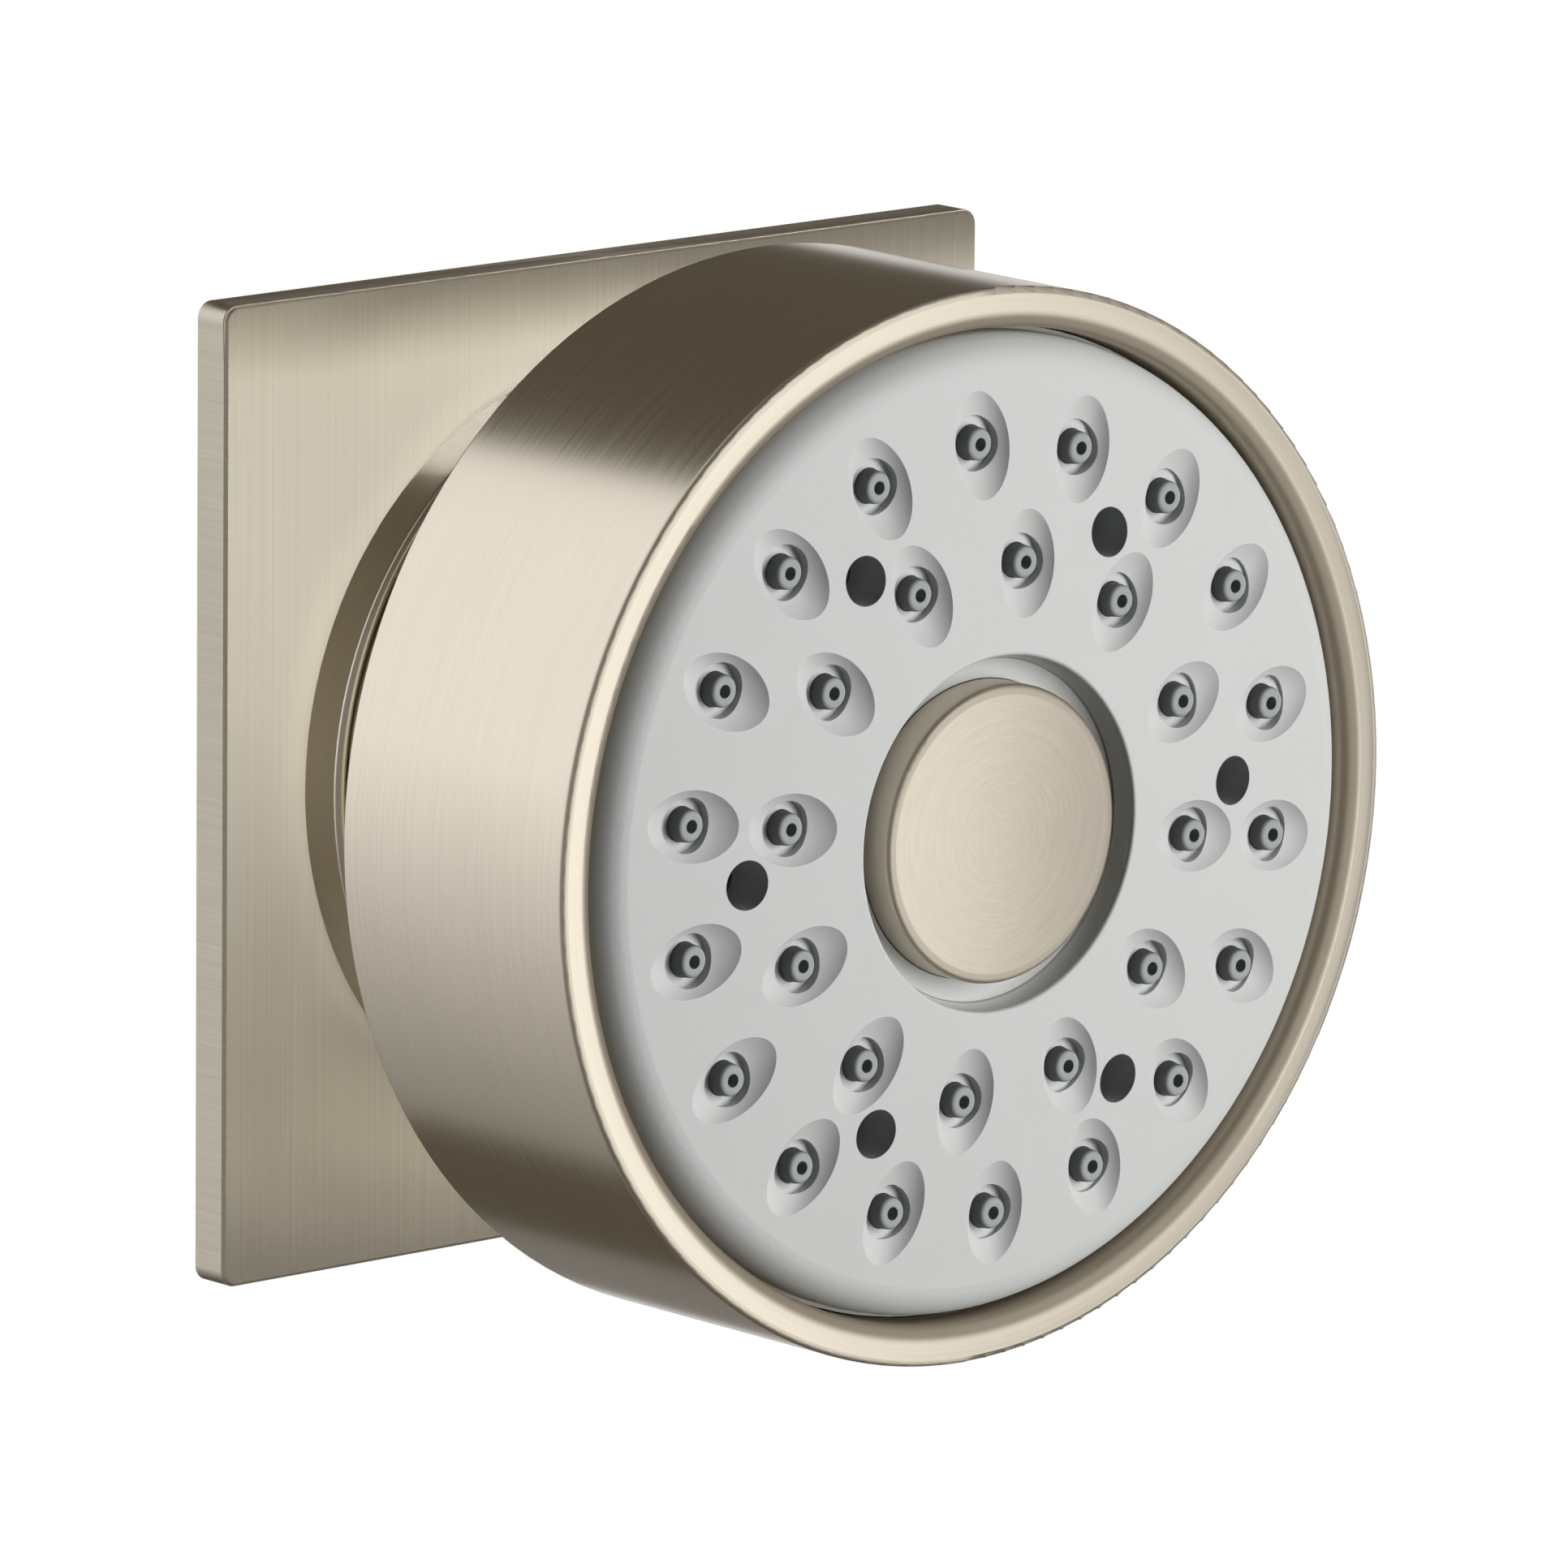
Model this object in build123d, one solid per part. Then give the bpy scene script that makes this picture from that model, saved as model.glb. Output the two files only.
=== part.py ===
from build123d import *
import math
import os

# Shower body jet: a round swivelling spray head on a square wall plate.
#
# Frame, in millimetres: the origin is the centre of the wall plate's back face, on the finished wall.
# +Z is up, +X is to the right of someone facing the jet, and the water leaves towards -Y.
# Every turned piece is described by its radius and by its distance out from the wall, which is -y.

# Wall plate
plate_side = 60.0
plate_thickness = 2.66
plate_corner_radius = 1.0
plate_edge_chamfer = 0.2
plate_hole_clearance = 0.2

# Soft gasket let into the plate's back
gasket_side = 52.0
gasket_width = 4.0
gasket_thickness = 0.9
gasket_corner_radius = 3.0

# Inlet nipple with its ball: a G 1/2 pipe thread behind the wall plane
pipe_thread_radius = 10.4775
pipe_thread_length = 15.0
pipe_thread_chamfer = 0.8
collar_radius = 11.0
collar_rise = 0.3
collar_rounding = 0.3
stem_radius = 5.5
stem_root_radius = 1.0
ball_radius = 9.5
ball_distance = 18.5
ball_mouth_angle = 40.0
inlet_bore_radius = 5.0
stem_bore_radius = 3.6
key_across_flats = 8.0
key_depth = 7.0

# Inlet filter at the nipple's back end
filter_seat_radius = 8.0
filter_seat_depth = 3.0
filter_clearance = 0.05
screen_thickness = 0.4
screen_hole_radius = 0.6
screen_hole_spacing = 1.8
screen_mesh_radius = 5.2
washer_bore_radius = 5.6
washer_inset = 0.2

# Round cover ring on the plate, screwed on the nipple's collar
cover_radius = 24.0
cover_height = 3.55
cover_wall = 1.8
cover_front_rounding = 0.7
cover_base_chamfer = 0.3
cover_hub_wall = 4.8
cover_ring_section = 0.9
thread_clearance = 0.03

# Ball joint: liner, two seats, spring washer, nut
joint_clearance = 0.05
liner_wall = 0.9
liner_rear_angle = 66.0
liner_front_angle = 100.0
seat_wall = 2.1
seat_opening_angle = 58.0
front_seat_length = 3.7
spring_washer_inset = 0.8
spring_washer_thickness = 0.4
spring_washer_rise = 0.38
nut_wall = 1.55
nut_thread_length = 3.05
nut_shoulder = 0.8
nut_nose_wall = 2.6
nut_nose_length = 2.4
nut_lip = 1.4
nut_opening_step = 0.8
nut_thread_runout = 0.2
ball_seal_section = 1.25
ball_seal_angle = 60.0

# Head housing: a brushed cup with a rolled rim
head_radius = 32.6
head_back = 16.95
head_wall = 2.0
head_side_wall = 2.5
head_back_edge = 0.15
rim_rise = 1.9
rim_outer_rounding = 0.4
rim_inner_rounding = 1.0
socket_thread_wall = 2.57
socket_runout = 1.5
spigot_step = 0.8
socket_wall = 2.4
ball_passage_radius = 7.2
post_radius = 2.7
post_gap = 0.4
post_count = 3
post_turn = 0.0

# Flow limiter in front of the ball
limiter_radius = 7.85
limiter_height = 2.3
limiter_cup_wall = 1.5
limiter_slot_count = 6
limiter_slot_radius = 1.2
limiter_slot_circle = 5.7
limiter_ring_section = 0.8
limiter_ring_radius = 2.6

# Distributor behind the spray face
distributor_gap = 0.73
distributor_thickness = 1.2
distributor_skirt_lap = 2.6
distributor_skirt_wall = 1.7
spigot_gap = 0.3
spigot_ring_section = 0.8
spigot_ring_inset = 3.1
window_count = 12
window_radius = 1.4
window_inset = 1.6
rib_width = 2.0
water_gap = 2.1
centre_post_radius = 5.0
centre_boss_radius = 3.6
centre_boss_floor = 0.4
screw_thread_radius = 1.5
screw_length = 8.0
screw_head_radius = 2.6
screw_head_height = 1.3
screw_key_across_flats = 2.0
screw_key_depth = 0.65
screw_ring_section = 0.35

# Silicone nozzle mat
mat_thickness = 1.2
mat_clearance = 0.15
nozzle_tip_radius = 0.97
nozzle_tip_rounding = 0.3
nozzle_taper = 0.08
nozzle_bore_radius = 0.41
nozzle_bore_length = 1.2
nozzle_entry_radius = 0.75
nozzle_below_face = 0.1
nozzle_clearance = 0.04

# Spray face: a slightly domed plate with an oval dish and a round pocket around each nozzle
face_height = 4.05
face_dome_radius = 200.0
face_edge_rounding = 2.3
face_fit_clearance = 0.1
face_flange_width = 0.25
face_flange_drop = 0.9
face_flange_thickness = 1.2
face_skirt_wall = 1.05
dish_length = 6.6
dish_width = 4.4
dish_depth = 0.95
dish_inward_shift = 0.05
nozzle_pocket_radius = 1.68
nozzle_pocket_below_tip = 1.0
air_hole_radius = 1.5
outer_ring_radius = 23.47
outer_ring_count = 18
outer_ring_angle = 10.0
inner_ring_radius = 16.27
inner_ring_count = 12
inner_ring_angle = 20.0
air_ring_radius = 19.38
air_ring_count = 6
air_ring_angle = 0.0
spray_turn = 2.2

# Round cap in the middle of the face, with its moat, ring and screw
cap_radius = 9.05
cap_below_apex = 0.15
cap_top = 1.1
cap_wall = 2.1
cap_front_rounding = 0.35
cap_clearance = 0.05
cap_seat_depth = 3.9
cap_ring_section = 0.5
moat_section = 1.7
moat_wall = 0.5
moat_lip_rounding = 0.2
hub_wall = 1.25
hub_web = 1.8
centre_screw_radius = 2.0
centre_screw_head_radius = 3.6
centre_screw_head_height = 1.8
centre_screw_length = 4.6
centre_screw_key = 3.0
centre_screw_key_depth = 0.9

seal_squeeze_gap = 0.02

# Distances from the wall that follow from the sizes above
cover_front = plate_thickness + cover_height
cover_hub_radius = collar_radius + cover_hub_wall
collar_front = cover_front + collar_rise
ball_mouth_distance = ball_distance + ball_radius * math.cos(math.radians(ball_mouth_angle))
liner_inner_radius = ball_radius + joint_clearance
liner_outer_radius = liner_inner_radius + liner_wall
seat_sphere_radius = liner_outer_radius + joint_clearance
seat_radius = seat_sphere_radius + seat_wall
seat_opening_radius = seat_sphere_radius * math.sin(math.radians(seat_opening_angle))
spring_washer_bore = seat_opening_radius + spring_washer_inset
seat_back = ball_distance - seat_sphere_radius * math.cos(math.radians(seat_opening_angle))
nut_floor = seat_back - spring_washer_thickness - spring_washer_rise - 2 * seal_squeeze_gap
nut_back = nut_floor - nut_lip
nut_thread_radius = seat_radius + joint_clearance + nut_wall
nut_across_flats = 2 * (nut_thread_radius + nut_shoulder)
nut_opening_radius = spring_washer_bore - nut_opening_step
nut_nose_radius = nut_opening_radius + nut_nose_wall
nut_front_distance = head_back + nut_thread_length
front_seat_front = ball_distance + front_seat_length
ball_seal_radius = ball_radius + ball_seal_section + joint_clearance
ball_seal_distance = ball_distance + ball_seal_radius * math.cos(math.radians(ball_seal_angle))
ball_seal_ring = ball_seal_radius * math.sin(math.radians(ball_seal_angle))
seal_groove_radius = ball_seal_ring + ball_seal_section + seal_squeeze_gap
seal_groove_front = ball_seal_distance + ball_seal_section + seal_squeeze_gap
socket_front = seal_groove_front + socket_wall
socket_radius = nut_thread_radius + thread_clearance + socket_thread_wall
socket_step = nut_front_distance + socket_runout
spigot_radius = socket_radius - spigot_step
spigot_ring_distance = socket_step + spigot_ring_inset
window_circle_radius = spigot_radius - window_inset
head_floor = head_back + head_wall
head_bore = head_radius - head_side_wall
limiter_front = socket_front + limiter_height
distributor_back = limiter_front + distributor_gap
distributor_skirt_back = spigot_ring_distance - distributor_skirt_lap
skirt_inner = spigot_radius + spigot_gap
skirt_outer = skirt_inner + distributor_skirt_wall
post_circle_radius = skirt_outer + post_gap + post_radius
post_first_angle = post_turn + spray_turn
distributor_front = distributor_back + distributor_thickness
mat_back = distributor_front + water_gap
mat_front = mat_back + mat_thickness
head_front = mat_front + rim_rise
face_apex = mat_front + face_height
face_flange_front = mat_front - face_flange_drop
face_flange_back = face_flange_front - face_flange_thickness
face_flange_radius = head_bore - face_fit_clearance
face_radius = face_flange_radius - face_flange_width
cap_front = face_apex - cap_below_apex
face_skirt_radius = face_flange_radius - face_skirt_wall
mat_radius = face_skirt_radius - mat_clearance
cap_bore_radius = cap_radius + cap_clearance
hub_radius = cap_bore_radius + hub_wall
mat_bore_radius = hub_radius + mat_clearance
cap_seat = cap_front - cap_seat_depth
hub_back = cap_seat - hub_web
inner_rib_radius = mat_bore_radius + rib_width


def turned(*corners):
    """A piece turned about the jet axis, from corners (radius, distance from the wall, rounding)."""
    points = [(corner[0], -corner[1]) for corner in corners]
    roundings = [corner[2] if len(corner) > 2 else 0 for corner in corners]
    outline = FilletPolyline(*points, radius=roundings, close=True)
    return revolve(make_face(outline), Axis.Y)


def tube(inner, outer, back, front):
    """A plain turned ring between two radii and two distances from the wall."""
    return turned((inner, back), (outer, back), (outer, front), (inner, front))


def rod(radius, back, front):
    """A plain turned rod on the jet axis."""
    return turned((0, back), (radius, back), (radius, front), (0, front))


def ring(radius, section, distance):
    """A round-section sealing ring about the jet axis."""
    section_face = Pos(radius, -distance) * Circle(section)
    return revolve(section_face, Axis.Y)


def ball(radius):
    """A sphere about the ball joint's centre."""
    return Pos(0, -ball_distance, 0) * Sphere(radius)


def facing_out(distance):
    """A workplane parallel to the wall whose normal points out of the jet."""
    return Plane(origin=(0, -distance, 0), x_dir=(1, 0, 0), z_dir=(0, -1, 0))


def around(radius, count, first_angle, piece):
    """Copies of a piece, made on the jet axis, set on a circle with the first at its angle from +X."""
    copies = []
    for number in range(count):
        angle = first_angle + number * 360 / count
        copies.append(Rot(0, -angle, 0) * Pos(radius, 0, 0) * piece)
    return copies


def hexagon_rod(across_flats, back, front):
    """A hexagonal rod on the jet axis."""
    outline = RegularPolygon(across_flats / 2, 6, major_radius=False)
    return extrude(facing_out(back) * outline, front - back)


def face_distance(radius):
    """How far the domed face stands from the wall at a radius."""
    sagitta = face_dome_radius - math.sqrt(face_dome_radius ** 2 - radius ** 2)
    return face_apex - sagitta


def tip_distance(ring_radius):
    """How far a ring's nozzle tips stand from the wall."""
    return face_distance(ring_radius) - nozzle_below_face


def nozzle_radius(behind_tip):
    """Radius of a nozzle at a distance behind its tip."""
    return nozzle_tip_radius + nozzle_taper * behind_tip


def nozzle_rings():
    """Radius, count and first angle of each ring of nozzles."""
    outer = (outer_ring_radius, outer_ring_count, outer_ring_angle + spray_turn)
    inner = (inner_ring_radius, inner_ring_count, inner_ring_angle + spray_turn)
    return [outer, inner]


def wall_plate():
    outline = RectangleRounded(plate_side, plate_side, plate_corner_radius)
    plate = extrude(facing_out(0) * outline, plate_thickness)
    front_edges = plate.edges().group_by(Axis.Y)[0]
    plate = chamfer(front_edges, plate_edge_chamfer)
    plate -= rod(collar_radius + plate_hole_clearance, 0, plate_thickness)
    return plate - gasket_frame()


def gasket_frame():
    outer = RectangleRounded(gasket_side, gasket_side, gasket_corner_radius)
    inner_side = gasket_side - 2 * gasket_width
    inner = RectangleRounded(inner_side, inner_side, gasket_corner_radius - gasket_width / 2)
    return extrude(facing_out(0) * (outer - inner), gasket_thickness)


def inlet_nipple():
    thread = turned(
        (0, -pipe_thread_length),
        (pipe_thread_radius - pipe_thread_chamfer, -pipe_thread_length),
        (pipe_thread_radius, pipe_thread_chamfer - pipe_thread_length),
        (pipe_thread_radius, 0),
        (collar_radius, 0),
        (collar_radius, collar_front, collar_rounding),
        (stem_radius, collar_front, stem_root_radius),
        (stem_radius, ball_distance),
        (0, ball_distance),
    )
    nipple = thread + ball(ball_radius)
    nipple -= rod(2 * ball_radius, ball_mouth_distance, ball_distance + 2 * ball_radius)
    nipple -= rod(filter_seat_radius, -pipe_thread_length, filter_seat_depth - pipe_thread_length)
    nipple -= rod(inlet_bore_radius, -pipe_thread_length, plate_thickness)
    nipple -= rod(stem_bore_radius, 0, ball_mouth_distance)
    nipple -= hexagon_rod(key_across_flats, ball_mouth_distance - key_depth, ball_mouth_distance)
    return nipple


def filter_floor():
    """Distance of the filter seat's floor, behind the wall plane."""
    return filter_seat_depth - pipe_thread_length


def filter_screen():
    floor = filter_floor()
    screen = rod(filter_seat_radius - filter_clearance, floor - screen_thickness, floor)
    rows = int(screen_mesh_radius / screen_hole_spacing) + 1
    holes = []
    for row in range(-rows, rows + 1):
        for column in range(-rows, rows + 1):
            x = (column + row / 2) * screen_hole_spacing
            z = row * screen_hole_spacing * math.sqrt(3) / 2
            if math.hypot(x, z) + screen_hole_radius <= screen_mesh_radius:
                hole = rod(screen_hole_radius, floor - screen_thickness, floor)
                holes.append(Pos(x, 0, z) * hole)
    return screen - holes


def filter_washer():
    back = washer_inset - pipe_thread_length
    outer = filter_seat_radius - filter_clearance
    return tube(washer_bore_radius, outer, back, filter_floor() - screen_thickness)


def cover_ring_groove_radius():
    """Middle radius of the sealing ring's groove in the cover's hub."""
    return (collar_radius + cover_hub_radius) / 2


def cover():
    bore = collar_radius + thread_clearance
    body = turned(
        (bore, plate_thickness),
        (cover_hub_radius, plate_thickness),
        (cover_hub_radius, cover_front - cover_wall),
        (cover_radius - cover_wall, cover_front - cover_wall),
        (cover_radius - cover_wall, plate_thickness),
        (cover_radius - cover_base_chamfer, plate_thickness),
        (cover_radius, plate_thickness + cover_base_chamfer),
        (cover_radius, cover_front, cover_front_rounding),
        (bore, cover_front),
    )
    middle = cover_ring_groove_radius()
    half_width = cover_ring_section + joint_clearance
    depth = 2 * cover_ring_section + 2 * seal_squeeze_gap
    groove = tube(middle - half_width, middle + half_width, plate_thickness, plate_thickness + depth)
    return body - groove


def cover_o_ring():
    distance = plate_thickness + cover_ring_section + seal_squeeze_gap
    return ring(cover_ring_groove_radius(), cover_ring_section, distance)


def joint_point(angle, radius):
    """Point of the ball joint's section at a radius and an angle from the rearward axis."""
    across = radius * math.sin(math.radians(angle))
    along = ball_distance - radius * math.cos(math.radians(angle))
    return (across, along)


def ball_liner():
    shell = ball(liner_outer_radius) - ball(liner_inner_radius)
    reach = 2 * liner_outer_radius
    wedge = turned(
        (0, ball_distance),
        joint_point(liner_rear_angle, reach),
        joint_point(90, reach),
        joint_point(liner_front_angle, reach),
    )
    return shell & wedge


def rear_seat():
    return tube(0, seat_radius, seat_back, ball_distance) - ball(seat_sphere_radius)


def front_seat():
    return tube(0, seat_radius, ball_distance, front_seat_front) - ball(seat_sphere_radius)


def spring_washer():
    outer = seat_radius - joint_clearance
    front = seat_back - seal_squeeze_gap
    return turned(
        (spring_washer_bore, front),
        (outer, front - spring_washer_rise),
        (outer, front - spring_washer_rise - spring_washer_thickness),
        (spring_washer_bore, front - spring_washer_thickness),
    )


def swivel_nut():
    hexagon = hexagon_rod(nut_across_flats, nut_back, head_back)
    corner = nut_across_flats / math.sqrt(3)
    cone = turned(
        (0, nut_back),
        (nut_nose_radius, nut_back),
        (corner, nut_back + nut_nose_length),
        (corner, head_back),
        (0, head_back),
    )
    nut = (hexagon & cone) + rod(nut_thread_radius, head_back, nut_front_distance)
    nut -= rod(nut_opening_radius, nut_back, nut_floor)
    return nut - rod(seat_radius + joint_clearance, nut_floor, nut_front_distance)


def ball_seal():
    return ring(ball_seal_ring, ball_seal_section, ball_seal_distance)


def spigot_ring_radius():
    """Middle radius of the ring that seals the distributor's skirt on the spigot."""
    return spigot_radius + spigot_gap - seal_squeeze_gap - spigot_ring_section


def head_housing():
    shell = turned(
        (0, head_back),
        (head_radius, head_back, head_back_edge),
        (head_radius, head_front, rim_outer_rounding),
        (head_bore, head_front, rim_inner_rounding),
        (head_bore, head_floor),
        (socket_radius, head_floor),
        (socket_radius, socket_step),
        (spigot_radius, socket_step),
        (spigot_radius, socket_front),
        (limiter_radius + limiter_cup_wall, socket_front),
        (limiter_radius + limiter_cup_wall, limiter_front),
        (0, limiter_front),
    )
    thread_end = nut_front_distance + nut_thread_runout
    housing = shell - rod(nut_thread_radius + thread_clearance, head_back, thread_end)
    housing -= rod(seat_radius + joint_clearance, head_back, front_seat_front + seal_squeeze_gap)
    housing -= rod(seal_groove_radius, head_back, seal_groove_front)
    housing -= rod(ball_passage_radius, head_back, limiter_front)
    housing -= rod(limiter_radius + joint_clearance, socket_front, limiter_front)
    middle = spigot_ring_radius()
    floor = middle - spigot_ring_section - seal_squeeze_gap
    half_width = spigot_ring_section + joint_clearance
    back = spigot_ring_distance - half_width
    housing -= tube(floor, spigot_radius, back, spigot_ring_distance + half_width)
    post_root = head_floor - head_wall / 2
    post = rod(post_radius, post_root, distributor_back)
    for copy in around(post_circle_radius, post_count, post_first_angle, post):
        housing += copy
    drill_end = screw_back() - thread_clearance
    drill = rod(screw_thread_radius + thread_clearance, drill_end, distributor_back)
    return housing - around(post_circle_radius, post_count, post_first_angle, drill)


def spigot_o_ring():
    return ring(spigot_ring_radius(), spigot_ring_section, spigot_ring_distance)


def flow_limiter():
    body = rod(limiter_radius, socket_front, limiter_front)
    hole = rod(limiter_slot_radius, socket_front, limiter_front)
    body -= around(limiter_slot_circle, limiter_slot_count, 0, hole)
    groove_half = limiter_ring_section + joint_clearance
    depth = 2 * limiter_ring_section + seal_squeeze_gap
    inner = limiter_ring_radius - groove_half
    outer = limiter_ring_radius + groove_half
    return body - tube(inner, outer, limiter_front - depth, limiter_front)


def limiter_ring():
    return ring(limiter_ring_radius, limiter_ring_section, limiter_front - limiter_ring_section)


def screw_back():
    """Distance of the distributor screws' ends."""
    return distributor_front - screw_length


def distributor():
    body = turned(
        (0, distributor_back),
        (skirt_inner, distributor_back),
        (skirt_inner, distributor_skirt_back),
        (skirt_outer, distributor_skirt_back),
        (skirt_outer, distributor_back),
        (mat_radius, distributor_back),
        (mat_radius, mat_back),
        (mat_radius - rib_width, mat_back),
        (mat_radius - rib_width, distributor_front),
        (inner_rib_radius, distributor_front),
        (inner_rib_radius, mat_back),
        (mat_bore_radius, mat_back),
        (mat_bore_radius, distributor_front),
        (centre_post_radius, distributor_front),
        (centre_post_radius, hub_back),
        (0, hub_back),
    )
    window = rod(window_radius, distributor_back, distributor_front)
    body -= around(window_circle_radius, window_count, 0, window)
    hole = rod(screw_thread_radius + joint_clearance, distributor_back, distributor_front)
    body -= around(post_circle_radius, post_count, post_first_angle, hole)
    drill = rod(centre_screw_radius + thread_clearance, centre_screw_back(), hub_back)
    body += rod(centre_boss_radius, centre_screw_back() - centre_boss_floor, distributor_front)
    return body - drill


def screw_head_back():
    """Distance of the underside of the distributor screws' heads, on their sealing rings."""
    return distributor_front + 2 * screw_ring_section + 2 * seal_squeeze_gap


def distributor_screws():
    head_back_distance = screw_head_back()
    head_front_distance = head_back_distance + screw_head_height
    screw = rod(screw_thread_radius, screw_back(), head_back_distance)
    screw += rod(screw_head_radius, head_back_distance, head_front_distance)
    key_back = head_front_distance - screw_key_depth
    screw -= hexagon_rod(screw_key_across_flats, key_back, head_front_distance)
    return Compound(around(post_circle_radius, post_count, post_first_angle, screw))


def screw_o_rings():
    middle = screw_thread_radius + screw_ring_section + joint_clearance
    seal = ring(middle, screw_ring_section, distributor_front + screw_ring_section + seal_squeeze_gap)
    return Compound(around(post_circle_radius, post_count, post_first_angle, seal))


def nozzle_mat():
    mat = tube(mat_bore_radius, mat_radius, mat_back, mat_front)
    for ring_radius, count, first_angle in nozzle_rings():
        tip = tip_distance(ring_radius)
        root = (nozzle_radius(tip - mat_front), mat_front)
        end = (nozzle_tip_radius, tip, nozzle_tip_rounding)
        nozzle = turned((0, mat_back), (root[0], mat_back), root, end, (0, tip))
        bore_back = tip - nozzle_bore_length
        bore = turned(
            (0, mat_back),
            (nozzle_entry_radius, mat_back),
            (nozzle_bore_radius, bore_back),
            (nozzle_bore_radius, tip),
            (0, tip),
        )
        mat += around(ring_radius, count, first_angle, nozzle)
        mat -= around(ring_radius, count, first_angle, bore)
    return mat


def arc_radius(half_chord, depth):
    """Radius of the arc that is as deep as this over half a chord."""
    return (half_chord ** 2 + depth ** 2) / (2 * depth)


def dish_cutter(ring_radius):
    """The oval dish around one nozzle of a ring, square to the dome, with its round pocket."""
    length_arc = arc_radius(dish_length / 2, dish_depth)
    width_arc = arc_radius(dish_width / 2, dish_depth)
    axis_height = width_arc - dish_depth
    reach = math.sqrt(length_arc ** 2 - (length_arc - width_arc) ** 2)
    left = (-reach, -axis_height)
    right = (reach, -axis_height)
    section = make_face(ThreePointArc(left, (0, dish_depth), right) + Line(right, left))
    scoop = revolve(section, Axis((0, -axis_height, 0), (1, 0, 0)))
    slope = math.degrees(math.asin(ring_radius / face_dome_radius))
    dish = Pos(0, -face_distance(ring_radius), 0) * Rot(0, 0, slope) * Pos(-dish_inward_shift, 0, 0) * scoop
    pocket_floor = tip_distance(ring_radius) - nozzle_pocket_below_tip
    return dish + rod(nozzle_pocket_radius, pocket_floor, face_apex)


def nozzle_hole(ring_radius):
    """The tapered hole that one nozzle of a ring stands in."""
    tip = tip_distance(ring_radius)
    back = nozzle_radius(tip - mat_front) + nozzle_clearance
    front = nozzle_tip_radius + nozzle_clearance
    return turned((0, mat_front), (back, mat_front), (front, tip), (0, tip))


def circle_edges(piece, radius):
    """The piece's circular edges of one radius about the jet axis."""
    circles = piece.edges().filter_by(GeomType.CIRCLE)
    centred = circles.filter_by(lambda edge: math.hypot(edge.arc_center.X, edge.arc_center.Z) < 0.01)
    return centred.filter_by(lambda edge: abs(edge.radius - radius) < 0.001)


def face_blank():
    """The spray face with its moat and cap bore, before its dishes and holes are cut."""
    dome = Pos(0, face_dome_radius - face_apex, 0) * Sphere(face_dome_radius)
    crown = rod(face_radius, face_flange_back, face_apex) & dome
    crown = fillet(circle_edges(crown, face_radius).sort_by(Axis.Y)[0], face_edge_rounding)
    crown -= rod(face_skirt_radius, face_flange_back, mat_front)
    flange = tube(face_skirt_radius, face_flange_radius, face_flange_back, face_flange_front)
    lip_radius = cap_radius + moat_section
    moat_distance = face_distance(lip_radius) - moat_wall
    crown -= rod(lip_radius, moat_distance, face_apex)
    crown = fillet(circle_edges(crown, lip_radius).sort_by(Axis.Y)[0], moat_lip_rounding)
    blank = crown + flange + rod(hub_radius, hub_back, mat_front)
    blank -= ring(cap_radius, moat_section, moat_distance)
    blank -= rod(cap_bore_radius, cap_seat, face_apex)
    return blank - rod(centre_screw_radius + joint_clearance, hub_back, cap_seat)


def spray_face():
    face = face_blank()
    for ring_radius, count, first_angle in nozzle_rings():
        face -= around(ring_radius, count, first_angle, dish_cutter(ring_radius))
        face -= around(ring_radius, count, first_angle, nozzle_hole(ring_radius))
    air_hole = rod(air_hole_radius, mat_front, face_apex)
    return face - around(air_ring_radius, air_ring_count, air_ring_angle + spray_turn, air_hole)


def centre_screw_back():
    """Distance of the centre screw's end."""
    return cap_seat - centre_screw_length


def centre_screw():
    head_front_distance = cap_seat + centre_screw_head_height
    screw = rod(centre_screw_radius, centre_screw_back(), cap_seat)
    screw += rod(centre_screw_head_radius, cap_seat, head_front_distance)
    key_back = head_front_distance - centre_screw_key_depth
    return screw - hexagon_rod(centre_screw_key, key_back, head_front_distance)


def cap_ring_distance():
    """Distance of the ring that grips the cap in its bore."""
    return cap_seat + 2 * cap_ring_section + joint_clearance


def cap_ring_radius():
    """Middle radius of the ring that grips the cap in its bore."""
    return cap_bore_radius - cap_ring_section - seal_squeeze_gap


def centre_cap():
    inner = cap_radius - cap_wall
    body = turned(
        (inner, cap_seat),
        (cap_radius, cap_seat),
        (cap_radius, cap_front, cap_front_rounding),
        (0, cap_front),
        (0, cap_front - cap_top),
        (inner, cap_front - cap_top),
    )
    half_width = cap_ring_section + joint_clearance
    floor = cap_ring_radius() - cap_ring_section - seal_squeeze_gap
    middle = cap_ring_distance()
    return body - tube(floor, cap_bore_radius, middle - half_width, middle + half_width)


def cap_o_ring():
    return ring(cap_ring_radius(), cap_ring_section, cap_ring_distance())


def main():
    os.makedirs("parts", exist_ok=True)
    pieces = {
        "wall_plate": wall_plate(),
        "plate_gasket": gasket_frame(),
        "inlet_nipple": inlet_nipple(),
        "filter_screen": filter_screen(),
        "filter_washer": filter_washer(),
        "cover_ring": cover(),
        "cover_o_ring": cover_o_ring(),
        "ball_liner": ball_liner(),
        "rear_seat": rear_seat(),
        "front_seat": front_seat(),
        "spring_washer": spring_washer(),
        "swivel_nut": swivel_nut(),
        "ball_seal": ball_seal(),
        "head_housing": head_housing(),
        "spigot_o_ring": spigot_o_ring(),
        "flow_limiter": flow_limiter(),
        "limiter_ring": limiter_ring(),
        "distributor": distributor(),
        "distributor_screws": distributor_screws(),
        "screw_o_rings": screw_o_rings(),
        "nozzle_mat": nozzle_mat(),
        "spray_face": spray_face(),
        "centre_screw": centre_screw(),
        "centre_cap": centre_cap(),
        "cap_o_ring": cap_o_ring(),
    }
    for name, piece in pieces.items():
        export_step(piece, f"parts/{name}.step")


main()
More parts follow.
